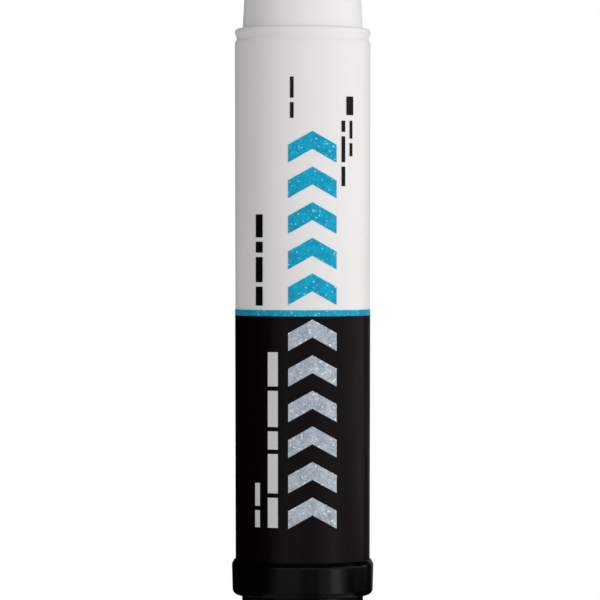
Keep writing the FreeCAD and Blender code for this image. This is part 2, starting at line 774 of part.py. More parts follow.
def tilted_sketch(body, name, along):
    """A sketch square to the spout's axis, at a distance along it from where it meets the stem's axis."""
    sketch = body.newObject("Sketcher::SketchObject", name)
    sketch.AttachmentSupport = [(origin_feature(body, "XY_Plane"), "")]
    sketch.MapMode = "FlatFace"
    forward = FreeCAD.Rotation(FreeCAD.Vector(1, 0, 0), amount("sizes.spout_tilt"))
    sketch.AttachmentOffset = FreeCAD.Placement(FreeCAD.Vector(0, 0, 0), forward)
    sketch.setExpression("AttachmentOffset.Rotation.Angle", "sizes.spout_tilt")
    sketch.setExpression("AttachmentOffset.Base.y", f"-({along}) * sin(sizes.spout_tilt)")
    sketch.setExpression("AttachmentOffset.Base.z", f"{BUTTON_UNDER} + ({along}) * cos(sizes.spout_tilt)")
    doc.recompute()
    return sketch


def lean_forward(body, along):
    """Turns a piece made on the upright axis onto the spout's axis, at a distance along it."""
    forward = FreeCAD.Rotation(FreeCAD.Vector(1, 0, 0), amount("sizes.spout_tilt"))
    body.Placement = FreeCAD.Placement(FreeCAD.Vector(0, 0, 0), forward)
    body.setExpression("Placement.Rotation.Angle", "sizes.spout_tilt")
    body.setExpression("Placement.Base.y", f"-({along}) * sin(sizes.spout_tilt)")
    body.setExpression("Placement.Base.z", f"{BUTTON_UNDER} + ({along}) * cos(sizes.spout_tilt)")


def make_nozzle_valve():
    """The silicone disc in the spout's mouth, with a cross slit that opens under the pushed paste."""
    body = new_body("nozzle_valve")
    radius = f"({MOUTH_R} - sizes.seat_gap)"
    turn(body, "valve_disc", [
        ("0", "0"),
        (radius, "0"),
        (radius, "sizes.valve_thickness"),
        ("0", "sizes.valve_thickness"),
    ])
    slit = new_sketch(body, "slit_outline", "XY_Plane", "sizes.valve_thickness")
    long_half = half("slit_length")
    thin_half = half("slit_width")
    add_outline(slit, [
        (f"-{long_half}", f"-{thin_half}"),
        (f"-{thin_half}", f"-{thin_half}"),
        (f"-{thin_half}", f"-{long_half}"),
        (thin_half, f"-{long_half}"),
        (thin_half, f"-{thin_half}"),
        (long_half, f"-{thin_half}"),
        (long_half, thin_half),
        (thin_half, thin_half),
        (thin_half, long_half),
        (f"-{thin_half}", long_half),
        (f"-{thin_half}", thin_half),
        (f"-{long_half}", thin_half),
    ])
    raise_from(body, "slit", slit, "sizes.valve_thickness", cut=True)
    lean_forward(body, "sizes.spout_reach - sizes.mouth_depth")
    return body


def make_nozzle_ring():
    """The ring that holds the valve in the spout's mouth."""
    body = new_body("nozzle_ring")
    outside = f"({MOUTH_R} - sizes.seat_gap)"
    inside = f"({outside} - sizes.nozzle_wall)"
    turn(body, "nozzle_wall", [
        (inside, "sizes.valve_thickness"),
        (outside, "sizes.valve_thickness"),
        (outside, "sizes.mouth_depth"),
        (f"{inside} + sizes.nozzle_flare", "sizes.mouth_depth"),
        (inside, "sizes.mouth_depth - sizes.nozzle_flare"),
    ])
    lean_forward(body, "sizes.spout_reach - sizes.mouth_depth")
    return body


def make_stem():
    """The hollow stem that carries the pump piston and leads the paste up to the spout."""
    body = new_body("piston_stem")
    foot_top = f"({STEM_LOW} + sizes.stem_foot_thickness)"
    catch_low = f"({PISTON_TOP} + sizes.seal_gap)"
    turn(body, "stem_wall", [
        (STEM_BORE_R, STEM_LOW),
        (f"{STEM_R} + sizes.stem_foot", STEM_LOW),
        (f"{STEM_R} + sizes.stem_foot", foot_top),
        (STEM_R, foot_top),
        (STEM_R, catch_low),
        (f"{STEM_R} + sizes.stem_catch", catch_low),
        (STEM_R, f"{catch_low} + sizes.stem_catch_height"),
        (STEM_R, f"{BUTTON_UNDER} - sizes.seal_gap"),
        (STEM_BORE_R, f"{BUTTON_UNDER} - sizes.seal_gap"),
    ])
    return body


def make_pump_piston():
    """The soft piston on the stem, a hub and a web with a lip that seals upwards and downwards."""
    body = new_body("pump_piston")
    hole = f"({STEM_R} + sizes.seal_gap)"
    hub = f"({hole} + sizes.piston_hub_wall)"
    seal = f"({PUMP_BORE_R} - sizes.seal_gap)"
    lip_inside = f"({seal} - sizes.piston_lip)"
    middle = f"(({PISTON_LOW} + {PISTON_TOP}) / 2)"
    turn(body, "piston_ring", [
        (hole, PISTON_LOW),
        (hub, PISTON_LOW),
        (hub, f"{middle} - sizes.piston_web / 2"),
        (lip_inside, f"{middle} - sizes.piston_web / 2"),
        (f"{lip_inside} + sizes.piston_waist", PISTON_LOW),
        (seal, PISTON_LOW),
        (f"{seal} - sizes.piston_waist", middle),
        (seal, PISTON_TOP),
        (f"{lip_inside} + sizes.piston_waist", PISTON_TOP),
        (lip_inside, f"{middle} + sizes.piston_web / 2"),
        (hub, f"{middle} + sizes.piston_web / 2"),
        (hub, PISTON_TOP),
        (hole, PISTON_TOP),
    ])
    return body


def make_inlet_disc():
    """The valve disc on the inlet port, with a hub that centres it in the port."""
    body = new_body("inlet_disc")
    hub = f"({PORT_R} - sizes.disc_hub_gap)"
    turn(body, "disc", [
        ("0", f"{WEB_HIGH} - sizes.disc_hub_height"),
        (hub, f"{WEB_HIGH} - sizes.disc_hub_height"),
        (hub, WEB_HIGH),
        (DISC_R, WEB_HIGH),
        (DISC_R, f"{WEB_HIGH} + sizes.disc_thickness"),
        ("0", f"{WEB_HIGH} + sizes.disc_thickness"),
    ])
    return body


def make_valve_cage():
    """The cage pressed into the pump cylinder, whose arms stop the lifting inlet disc."""
    body = new_body("valve_cage")
    turn(body, "cage_ring", [
        (CAGE_BORE_R, WEB_HIGH),
        (CAGE_R, WEB_HIGH),
        (CAGE_R, CAGE_TOP),
        (CAGE_BORE_R, CAGE_TOP),
    ])
    hub = new_sketch(body, "cage_hub_outline", "XY_Plane", ARM_LOW)
    add_circle(hub, "0", "0", "sizes.cage_hub")
    raise_from(body, "cage_hub", hub, "sizes.cage_arm_thickness")
    arm = new_sketch(body, "cage_arm_outline", "XY_Plane", ARM_LOW)
    side = half("cage_arm_width")
    hub_root = f"{half('cage_hub')} - 2 * sizes.root_depth"
    add_rectangle(arm, hub_root, f"{CAGE_BORE_R} + sizes.root_depth", f"-{side}", side)
    arms = raise_from(body, "cage_arm", arm, "sizes.cage_arm_thickness")
    spread_round(body, "cage_arms", arms, "sizes.cage_arms")
    return body


def make_spring():
    """The steel coil round the pump cylinder that lifts the button again."""
    low = f"({WEB_HIGH} + sizes.spring_wire / 2)"
    high = f"({BUTTON_UNDER} - sizes.spring_wire / 2)"
    coil = doc.addObject("Part::Helix", "spring_line")
    coil.setExpression("Radius", SPRING_R)
    coil.setExpression("Height", f"{high} - {low}")
    coil.setExpression("Pitch", f"({high} - {low}) / sizes.spring_turns")
    coil.setExpression("Placement.Base.z", low)
    wire = doc.addObject("Part::Circle", "spring_section")
    wire.Placement.Rotation = FreeCAD.Rotation(FreeCAD.Vector(1, 0, 0), 90)
    wire.setExpression("Radius", "sizes.spring_wire / 2")
    wire.setExpression("Placement.Base.x", SPRING_R)
    wire.setExpression("Placement.Base.z", low)
    spring = doc.addObject("Part::Sweep", "return_spring")
    spring.Label = "return_spring"
    doc.recompute()
    spring.Sections = [wire]
    spring.Spine = (coil, [])
    spring.Solid = True
    spring.Frenet = True
    return spring


def make_cap():
    """The pull-off cap, a cup that narrows upwards, with a bead inside that grips the spigot."""
    body = new_body("overcap")
    under_roof = f"({CAP_TOP} - sizes.cap_roof)"
    turn(body, "cap_wall", [
        (cap_radius(DECK), DECK),
        (cap_radius(CAP_TOP), CAP_TOP),
        ("0", CAP_TOP),
        ("0", under_roof),
        (f"{cap_radius(under_roof)} - sizes.cap_wall", under_roof),
        (f"{cap_radius(DECK)} - sizes.cap_wall", DECK),
    ])
    bead_low = f"({DECK} + sizes.cap_bead_height)"
    bead_top = f"({bead_low} + sizes.cap_bead_width)"
    grip = f"({spigot_radius(bead_low)} + sizes.seal_gap)"
    low_wall = f"({cap_radius(bead_low)} - sizes.cap_wall)"
    top_wall = f"({cap_radius(bead_top)} - sizes.cap_wall)"
    turn(body, "cap_bead", [
        (f"{low_wall} + sizes.root_depth", bead_low),
        (low_wall, bead_low),
        (grip, f"{bead_low} + sizes.cap_bead_slope"),
        (grip, f"{bead_top} - sizes.cap_bead_slope"),
        (top_wall, bead_top),
        (f"{top_wall} + sizes.root_depth", bead_top),
    ])
    round_rim(body, "cap_edge", cap_radius(CAP_TOP), CAP_TOP, "sizes.cap_round", cap_radius(CAP_TOP))
    round_rim(body, "cap_lip_edge", cap_radius(DECK), DECK, "sizes.cap_lip_round", "sizes.cap_wall / 2")
    return body


def ink_layer(body, name, low, high, layer):
    """A thin sleeve that follows the barrel between two heights, on it or one layer further out."""
    inner = f"(sizes.ink_gap + {layer} * (sizes.ink_gap + sizes.ink_depth))"
    outer = f"({inner} + sizes.ink_depth)"
    turn(body, name, [
        (f"{barrel_radius(low)} + {inner}", low),
        (f"{barrel_radius(low)} + {outer}", low),
        (f"{barrel_radius(high)} + {outer}", high),
        (f"{barrel_radius(high)} + {inner}", high),
    ])


def make_black_field():
    """The black ink round the lower half of the barrel, which runs down inside the base's ring."""
    body = new_body("black_field")
    ink_layer(body, "black_ink", FIELD_LOW, STRIPE_LOW, 0)
    return body


def make_blue_stripe():
    """The blue glitter line between the black field and the bare white barrel."""
    body = new_body("blue_stripe")
    ink_layer(body, "blue_ink", STRIPE_LOW, STRIPE_TOP, 0)
    return body


def stamp(name, low, high, layer, shapes):
    """Foil shapes on the barrel's front: outlines pushed forward, kept where they meet a thin sleeve."""
    sleeve = doc.addObject("PartDesign::Body", name + "_sleeve")
    ink_layer(sleeve, name + "_layer", low, high, layer)
    block = doc.addObject("PartDesign::Body", name + "_block")
    sketch = new_sketch(block, name + "_outline", "XZ_Plane")
    for points in shapes:
        add_outline(sketch, points)
    raise_from(block, name + "_pad", sketch, "sizes.barrel_dia")
    stamped = doc.addObject("Part::Common", name)
    stamped.Label = name
    stamped.Base = sleeve
    stamped.Tool = block
    return stamped


def chevron(low):
    """The outline of one upward chevron that starts at a height."""
    middle = "sizes.motif_across"
    side = half("motif_width")
    peak = f"{low} + sizes.motif_rise"
    return [
        (f"{middle} - {side}", low),
        (middle, peak),
        (f"{middle} + {side}", low),
        (f"{middle} + {side}", f"{low} + sizes.motif_stroke"),
        (middle, f"{peak} + sizes.motif_stroke"),
        (f"{middle} - {side}", f"{low} + sizes.motif_stroke"),
    ]


def make_chevrons(name, start, limit, layer):
    """A column of chevrons at the motif's pitch, as many as fit between two heights."""
    tall = "(sizes.motif_rise + sizes.motif_stroke)"
    number = 1 + math.floor(amount(f"({limit} - {start} - {tall}) / sizes.motif_pitch"))
    lows = [f"({start} + {i} * sizes.motif_pitch)" for i in range(number)]
    return stamp(name, start, f"({lows[-1]} + {tall})", layer, [chevron(low) for low in lows])


def bar_column(name, low):
    """The outlines of a column of bars from a height, their lengths swinging about the mean by a sine."""
    spread, step = amount("sizes.bar_spread"), math.radians(amount("sizes.bar_turn"))
    swings = [1 + spread * math.sin(step * i) for i in range(whole(f"{name}_count"))]
    left = f"(sizes.{name}_across - sizes.{name}_width / 2)"
    right = f"(sizes.{name}_across + sizes.{name}_width / 2)"
    run = f"(sizes.{name}_length + sizes.bar_gap)"
    shapes = []
    for i in range(len(swings)):
        start = f"({low} + {run} * {sum(swings[:i]) / sum(swings):.6f})"
        end = f"({low} + {run} * {sum(swings[:i + 1]) / sum(swings):.6f} - sizes.bar_gap)"
        shapes.append([(left, start), (right, start), (right, end), (left, end)])
    return shapes


def make_bars(name, columns, layer):
    """Columns of plain bars that run up the barrel's front; each column has its lowest height."""
    shapes = [shape for column, low in columns.items() for shape in bar_column(column, low)]
    lows = "; ".join(columns.values())
    tops = "; ".join(f"{low} + sizes.{column}_length" for column, low in columns.items())
    return stamp(name, f"min({lows})", f"max({tops})", layer, shapes)


BLACK_BARS = {
    "side": f"({STRIPE_TOP} + sizes.side_start)",
    "crest": f"({RIM} - sizes.crest_drop)",
    "inner": f"({RIM} - sizes.inner_drop)",
    "outer": f"({RIM} - sizes.outer_drop)",
    "mark": f"({RIM} - sizes.mark_drop)",
}
WHITE_BARS = {
    "broad": f"({BARREL_LOW} + sizes.broad_start)",
    "slim": f"({BARREL_LOW} + sizes.slim_start)",
}
SILVER_LOW = f"({BARREL_LOW} + sizes.silver_start)"
SILVER_LIMIT = f"({STRIPE_LOW} - sizes.silver_margin)"
BLUE_LOW = f"({STRIPE_TOP} + sizes.blue_start)"
BLUE_LIMIT = f"({RIM} - sizes.blue_margin)"

pieces = [
    make_barrel(),
    make_base_cup(),
    make_follower(),
    make_star(),
    make_paste(),
    make_housing(),
    make_seal(),
    make_collar(),
    make_button(),
    make_nozzle_valve(),
    make_nozzle_ring(),
    make_stem(),
    make_pump_piston(),
    make_inlet_disc(),
    make_valve_cage(),
    make_spring(),
    make_cap(),
    make_black_field(),
    make_blue_stripe(),
    make_chevrons("silver_chevrons", SILVER_LOW, SILVER_LIMIT, 1),
    make_chevrons("blue_chevrons", BLUE_LOW, BLUE_LIMIT, 0),
    make_bars("black_bars", BLACK_BARS, 0),
    make_bars("white_bars", WHITE_BARS, 1),
]
doc.recompute()

for item in doc.Objects:
    faults = {"Invalid", "Error"} & set(item.State)
    if faults:
        raise RuntimeError(f"{item.Label} failed: {item.State}")

for piece in pieces:
    if piece.Shape.isNull() or not piece.Shape.isValid() or piece.Shape.Volume <= 0:
        raise RuntimeError(f"{piece.Label} has no valid solid")

os.makedirs("parts", exist_ok=True)
for piece in pieces:
    piece.Shape.exportStep(f"parts/{piece.Label}.step")
    print(f"{piece.Label}: {len(piece.Shape.Solids)} solids, {piece.Shape.Volume:.2f} mm3")
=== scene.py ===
"""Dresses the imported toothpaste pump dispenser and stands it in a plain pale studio.

It adds glitter flakes to the print, and makes the return spring and the paste anew.
"""

import math

import bmesh
import bpy
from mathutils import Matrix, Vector


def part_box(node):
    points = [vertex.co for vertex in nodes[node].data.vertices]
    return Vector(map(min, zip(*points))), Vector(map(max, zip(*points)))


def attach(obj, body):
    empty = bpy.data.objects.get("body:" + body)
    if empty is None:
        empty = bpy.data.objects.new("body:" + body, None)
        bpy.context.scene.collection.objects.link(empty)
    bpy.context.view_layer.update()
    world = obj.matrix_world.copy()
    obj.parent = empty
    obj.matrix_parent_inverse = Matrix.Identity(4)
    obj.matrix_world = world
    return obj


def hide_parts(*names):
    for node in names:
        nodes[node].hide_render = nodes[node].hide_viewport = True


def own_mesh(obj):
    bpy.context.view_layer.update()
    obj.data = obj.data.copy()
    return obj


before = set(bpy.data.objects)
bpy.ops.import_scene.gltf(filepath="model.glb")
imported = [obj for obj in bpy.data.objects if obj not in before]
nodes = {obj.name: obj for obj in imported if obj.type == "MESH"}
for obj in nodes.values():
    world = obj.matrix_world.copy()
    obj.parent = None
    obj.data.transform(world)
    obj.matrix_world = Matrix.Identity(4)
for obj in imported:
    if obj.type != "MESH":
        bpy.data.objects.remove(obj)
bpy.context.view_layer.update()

MM = 0.001
FULL_TURN = 2 * math.pi
WHITE = (1, 1, 1, 1)


# Small helpers


def linear(code):
    """A hex sRGB colour as linear red, green, blue and alpha."""
    parts = [int(code[i : i + 2], 16) / 255 for i in (1, 3, 5)]
    return (*[c / 12.92 if c <= 0.04045 else ((c + 0.055) / 1.055) ** 2.4 for c in parts], 1.0)


def put(name, data):
    """A new object with a mesh, lamp or camera, in the scene."""
    piece = bpy.data.objects.new(name, data)
    bpy.context.scene.collection.objects.link(piece)
    return piece


def add_node(tree, kind, settings=None, inputs=None):
    """Adds a node with its settings; an input is a number, a colour or the socket that feeds it."""
    made = tree.nodes.new(kind)
    for name, value in (settings or {}).items():
        setattr(made, name, value)
    for name, value in (inputs or {}).items():
        if isinstance(value, bpy.types.NodeSocket):
            tree.links.new(value, made.inputs[name])
        else:
            made.inputs[name].default_value = value
    return made


def maths(tree, operation, *terms):
    """The outcome of a sum on one or two numbers."""
    inputs = dict(enumerate(terms))
    return add_node(tree, "ShaderNodeMath", {"operation": operation}, inputs).outputs[0]


def vector_maths(tree, operation, inputs):
    """The outputs of a sum on vectors: the vector first, then the number."""
    return add_node(tree, "ShaderNodeVectorMath", {"operation": operation}, inputs).outputs


def new_finish(name):
    """An empty material with its output, and its node tree."""
    finish = bpy.data.materials.new(name)
    finish.use_nodes = True
    tree = finish.node_tree
    tree.nodes.clear()
    return finish, tree


def own_place(tree):
    """A point's place in the piece's own coordinates."""
    return add_node(tree, "ShaderNodeTexCoord").outputs["Object"]


def blend_colours(tree, share, low, high):
    """A colour between two, by a share."""
    mixed = add_node(tree, "ShaderNodeMix", {"data_type": "RGBA"}, {0: share, 6: low, 7: high})
    return mixed.outputs[2]


def ramp(tree, share, low, high, bottom, top):
    """A number that goes from bottom to top while a share goes from low to high."""
    inputs = {"Value": share, "From Min": low, "From Max": high, "To Min": bottom, "To Max": top}
    return add_node(tree, "ShaderNodeMapRange", {"clamp": True}, inputs).outputs["Result"]


def grain(tree, size_mm, detail=2.0, stretch=(1, 1, 1)):
    """Noise with features of a real size in millimetres, on the piece's own coordinates."""
    place = own_place(tree)
    if stretch != (1, 1, 1):
        inputs = {"Vector": place, "Scale": stretch}
        place = add_node(tree, "ShaderNodeMapping", None, inputs).outputs[0]
    inputs = {"Vector": place, "Scale": 1 / (size_mm * MM), "Detail": detail, "Roughness": 0.55}
    return add_node(tree, "ShaderNodeTexNoise", None, inputs).outputs["Fac"]


def relief(tree, height, depth_mm, below=None):
    """A bump whose full height is a real depth in millimetres."""
    inputs = {"Height": height, "Distance": depth_mm * MM, "Strength": 1.0}
    if below is not None:
        inputs["Normal"] = below
    return add_node(tree, "ShaderNodeBump", None, inputs).outputs["Normal"]


def close_finish(finish, tree, inputs):
    """Adds the surface shader with its inputs and joins it to the output."""
    shader = add_node(tree, "ShaderNodeBsdfPrincipled", None, inputs)
    add_node(tree, "ShaderNodeOutputMaterial", None, {"Surface": shader.outputs["BSDF"]})
    return finish


# Finishes

# Rings that the mould's lathe left on the turned ends, about 0.4 mm apart and 0.0015 mm deep.
# A wave texture has 10 / pi rings in each unit of length.
TOOL_RINGS = math.pi / (10 * 0.4 * MM)
TOOL_RING_DEPTH_MM = 0.0015
GLITTER_CELL_MM = 0.34
GLITTER_LEAN = 0.42


def moulded_polypropylene(name, colour, shade, gloss, peel_mm, specular=0.5):
    """Injection moulded polypropylene: an even, slightly waxy gloss.

    It has a faint orange peel, flow marks and the lathe rings of its mould.
    """
    finish, tree = new_finish(name)
    flow = grain(tree, 14.0, 3.0, (1, 1, 0.35))
    peel = grain(tree, 1.1, 2.0)
    scuff = grain(tree, 3.5, 6.0, (1, 1, 0.25))
    tone = ramp(tree, flow, 0.35, 0.65, 0.0, 1.0)
    wear = ramp(tree, scuff, 0.45, 0.75, gloss, gloss + 0.08)
    turned = add_node(tree, "ShaderNodeTexWave", {"wave_type": "RINGS", "rings_direction": "Z"}, {
        "Vector": own_place(tree), "Scale": TOOL_RINGS, "Distortion": 0.4, "Detail": 2.0,
    })
    rings = relief(tree, turned.outputs["Fac"], TOOL_RING_DEPTH_MM)
    return close_finish(finish, tree, {
        "Base Color": blend_colours(tree, tone, linear(colour), linear(shade)),
        "Roughness": wear,
        "IOR": 1.49,
        "Specular IOR Level": specular,
        "Normal": relief(tree, peel, peel_mm, rings),
    })


def printed_ink(name, colour, shade, gloss, specular):
    """Dry offset ink: a satin film with the mottle of the blanket and hair-fine drag lines."""
    finish, tree = new_finish(name)
    mottle = grain(tree, 0.35, 3.0)
    drag = grain(tree, 1.8, 4.0, (1, 1, 0.08))
    tone = ramp(tree, mottle, 0.3, 0.7, 0.0, 1.0)
    return close_finish(finish, tree, {
        "Base Color": blend_colours(tree, tone, linear(colour), linear(shade)),
        "Roughness": ramp(tree, drag, 0.35, 0.7, gloss - 0.04, gloss + 0.06),
        "IOR": 1.45,
        "Specular IOR Level": specular,
        "Normal": relief(tree, mottle, 0.0012),
    })


def glitter_ink(name, colour, deep, bright, painted_glint):
    """Ink filled with aluminium glitter: each cell is a flake tilted its own way; some cells are
    lightened by a painted sheen and a few by a painted glint.
    """
    finish, tree = new_finish(name)
    cells = add_node(tree, "ShaderNodeTexVoronoi", {"feature": "F1"}, {
        "Vector": own_place(tree), "Scale": 1 / (GLITTER_CELL_MM * MM), "Randomness": 1.0,
    }).outputs["Color"]
    chance = add_node(tree, "ShaderNodeSeparateColor", None, {"Color": cells}).outputs
    clouds = ramp(tree, grain(tree, 2.6, 2.0), 0.36, 0.64, 0.0, 1.0)
    tone = blend_colours(tree, clouds, linear(deep), linear(colour))
    mottle = ramp(tree, grain(tree, 0.5, 2.0), 0.5, 0.7, 0.0, 0.85)
    tone = blend_colours(tree, mottle, tone, linear(deep))
    # Painted sheen: a share of the cells is lightened by chance toward a brighter colour.
    painted_sheen_share = ramp(tree, chance["Red"], 0.55, 0.95, 0.0, 0.55)
    tone = blend_colours(tree, painted_sheen_share, tone, linear(bright))
    # Painted glint: a few cells take a pale sparkle colour, whatever the light.
    painted_glint_share = ramp(tree, chance["Green"], 0.965, 0.98, 0.0, 1.0)
    tone = blend_colours(tree, painted_glint_share, tone, linear(painted_glint))
    lean = vector_maths(tree, "SUBTRACT", {0: cells, 1: (0.5, 0.5, 0.5)})[0]
    lean = vector_maths(tree, "SCALE", {0: lean, "Scale": GLITTER_LEAN})[0]
    upright = add_node(tree, "ShaderNodeNewGeometry").outputs["Normal"]
    tilted = vector_maths(tree, "ADD", {0: upright, 1: lean})[0]
    return close_finish(finish, tree, {
        "Base Color": tone,
        "Metallic": ramp(tree, chance["Blue"], 0.35, 0.9, 0.0, 0.25),
        "Roughness": ramp(tree, chance["Red"], 0.0, 1.0, 0.5, 0.3),
        "Specular IOR Level": 0.2,
        "Normal": vector_maths(tree, "NORMALIZE", {0: tilted})[0],
    })


def glitter_flake(name, colour, painted_glint):
    """Aluminium glitter under a tinted lacquer: bright, and each flake is lightened by chance toward
    a painted glint colour.
    """
    finish, tree = new_finish(name)
    flake_painted_glint_share = add_node(tree, "ShaderNodeAttribute", {"attribute_name": "painted_flake_glint"}).outputs["Fac"]
    # Painted glint: the flake's colour is mixed toward a pale glint colour by its share.
    return close_finish(finish, tree, {
        "Base Color": blend_colours(tree, flake_painted_glint_share, linear(colour), linear(painted_glint)),
        "Metallic": 0.6,
        "Roughness": 0.3,
    })


def spring_steel(name, colour, along):
    """Hard drawn stainless steel: bright, with fine die lines along the draw."""
    finish, tree = new_finish(name)
    lines = grain(tree, 0.25, 3.0, along)
    return close_finish(finish, tree, {
        "Base Color": blend_colours(tree, lines, linear(colour), linear("#8C8A88")),
        "Metallic": 1.0,
        "Roughness": ramp(tree, lines, 0.3, 0.7, 0.2, 0.38),
        "Normal": relief(tree, lines, 0.002),
    })


def soft_rubber(name, colour, shade, gloss):
    """Pressed rubber or silicone: matt and slightly bloomed, with a fine grain."""
    finish, tree = new_finish(name)
    bloom = grain(tree, 1.5, 4.0)
    return close_finish(finish, tree, {
        "Base Color": blend_colours(tree, bloom, linear(colour), linear(shade)),
        "Roughness": ramp(tree, bloom, 0.3, 0.7, gloss - 0.06, gloss + 0.08),
        "IOR": 1.42,
        "Normal": relief(tree, grain(tree, 0.12, 2.0), 0.002),
    })


def mint_paste(name, colour, swirl):
    """Gel paste: smooth and wet, with slow swirls of a cooler tone from filling."""
    finish, tree = new_finish(name)
    folds = add_node(tree, "ShaderNodeTexWave", {"wave_type": "RINGS", "rings_direction": "Z"}, {
        "Vector": own_place(tree),
        "Scale": 60.0, "Distortion": 6.0, "Detail": 3.0, "Detail Scale": 1.2,
    })
    return close_finish(finish, tree, {
        "Base Color": blend_colours(tree, folds.outputs["Fac"], linear(colour), linear(swirl)),
        "Roughness": 0.28,
        "IOR": 1.44,
        "Subsurface Weight": 0.2,
        "Subsurface Scale": 2 * MM,
        "Normal": relief(tree, grain(tree, 2.5, 2.0), 0.05),
    })


white_shell = moulded_polypropylene(
    "white_polypropylene_tube", "#EEECEB", "#ECEAE9", gloss=0.34, peel_mm=0.004, specular=0.25
)
white_head = moulded_polypropylene(
    "white_polypropylene_head", "#EFEDEC", "#EDECEA", gloss=0.36, peel_mm=0.004, specular=0.25
)
natural = moulded_polypropylene(
    "natural_polyethylene", "#E2E1DA", "#DCDBD2", gloss=0.5, peel_mm=0.008
)
black_base = moulded_polypropylene(
    "black_polypropylene_base", "#030203", "#050405", gloss=0.2, peel_mm=0.008, specular=0.14
)
black_field = printed_ink("black_offset_ink", "#080104", "#0A0306", gloss=0.36, specular=0.13)
black_lines = printed_ink("black_line_ink", "#070607", "#0C0A0B", gloss=0.4, specular=0.2)
white_ink = printed_ink("white_offset_ink", "#D9D9DA", "#CFCFD1", gloss=0.5, specular=0.3)
# In each glitter ink the third colour is a painted sheen and the fourth a painted glint; in each
# flake finish the second colour is a painted glint.
blue_glitter = glitter_ink("blue_glitter_ink", "#02AACE", "#0392BD", "#10B8DA", "#8AE8F6")
silver_glitter = glitter_ink("silver_glitter_ink", "#BAC2CC", "#98A2B1", "#D0D6DC", "#F6FAFA")
blue_flake = glitter_flake("blue_glitter_flake", "#0494BE", "#5AD8EE")
silver_flake = glitter_flake("silver_glitter_flake", "#A2ABB8", "#E6ECF0")
steel = spring_steel("spring_steel_sheet", "#C3C1BE", along=(1, 0.05, 1))
wire_steel = spring_steel("spring_steel_wire", "#C9C7C4", along=(1, 1, 0.2))
nitrile = soft_rubber("black_nitrile", "#0C0C0C", "#161616", gloss=0.6)
silicone = soft_rubber("pale_silicone", "#D8DCE0", "#CBD0D6", gloss=0.45)
paste = mint_paste("mint_gel_paste", "#DCEFF1", "#C2E3E9")

FINISHES = {
    "barrel": white_shell,
    "base_cup": black_base,
    "follower_piston": natural,
    "grip_star": steel,
    "pump_housing": white_head,
    "head_seal": nitrile,
    "collar": white_head,
    "push_button": white_head,
    "nozzle_valve": silicone,
    "nozzle_ring": white_head,
    "piston_stem": white_head,
    "pump_piston": natural,
    "inlet_disc": silicone,
    "valve_cage": natural,
    "overcap": white_head,
    "black_field": black_field,
    "blue_stripe": blue_glitter,
    "silver_chevrons": silver_glitter,
    "blue_chevrons": blue_glitter,
    "black_bars": black_lines,
    "white_bars": white_ink,
}
for name, finish in FINISHES.items():
    for place in nodes[name].material_slots:
        place.material = finish


# Camera, as the photograph was taken: far off, a little above the middle and tipped slightly down

PHOTO_SIDE = 600
FOCAL_PIXELS = 4285
DISTANCE = 1075 * MM
EYE_HEIGHT = 97.5 * MM
EYE_ASIDE = -0.67 * MM
LOOK_DOWN = 0.859

camera_data = bpy.data.cameras.new("studio_camera")
camera_data.lens = camera_data.sensor_width * FOCAL_PIXELS / PHOTO_SIDE
camera_data.clip_start = 0.05
camera_data.clip_end = 20.0
camera = put("studio_camera", camera_data)
camera.location = (EYE_ASIDE, -DISTANCE, EYE_HEIGHT)
camera.rotation_euler = (math.radians(90 - LOOK_DOWN), 0, 0)
bpy.context.scene.camera = camera


# Studio, in metres, with azimuths in degrees from the camera's side, positive to the right

WORLD_LIGHT = 0.48
LAMP_AIM = Vector((0, 0, 0.085))
SHADOW_FROM, SHADOW_TO = 0.03, 0.075
FLOOR_HEIGHT, FLOOR_HALF = -0.0002, 3
CARD_STEPS = 24
FOOT_AWAY, NEAR_AWAY, WALL_AWAY = 0.0165, 0.2, 0.6
CARD_LOW, WALL_TOP = 0.001, 0.9
CEILING_HALF = 1.3

# Name, azimuth, height, distance, side and watts
LAMPS = (
    ("key_softbox", 40, 0.60, 1.4, 0.6, 8.8),
    ("right_softbox", 112, 0.40, 1.2, 0.5, 1.9),
    ("back_softbox", 172, 0.60, 1.3, 0.6, 5.0),
)


def softbox(name, azimuth, height, distance, side, power):
    """A square area lamp at an azimuth, aimed at the dispenser.

    It isn't mirrored in the gloss, which shows the white room and the cards instead.
    """
    data = bpy.data.lights.new(name, "AREA")
    data.shape = "RECTANGLE"
    data.size = side
    data.size_y = side
    data.energy = power
    lamp = put(name, data)
    turn = math.radians(azimuth)
    lamp.location = (distance * math.sin(turn), -distance * math.cos(turn), height)
    aim = LAMP_AIM - lamp.location
    lamp.rotation_euler = aim.to_track_quat("-Z", "Y").to_euler()
    lamp.visible_camera = False
    lamp.visible_glossy = False


def studio_world():
    """White where the camera, gloss or glass sees it, and a soft grey as the light that it gives."""
    world = bpy.data.worlds.new("studio_world")
    bpy.context.scene.world = world
    world.use_nodes = True
    tree = world.node_tree
    tree.nodes.clear()
    path = add_node(tree, "ShaderNodeLightPath").outputs
    seen = maths(tree, "MAXIMUM", path["Is Camera Ray"], path["Is Glossy Ray"])
    seen = maths(tree, "MAXIMUM", seen, path["Is Transmission Ray"])
    level = ramp(tree, seen, 0.0, 1.0, WORLD_LIGHT, 1.0)
    light = add_node(tree, "ShaderNodeBackground", None, {"Color": WHITE, "Strength": level})
    add_node(tree, "ShaderNodeOutputWorld", None, {"Surface": light.outputs[0]})


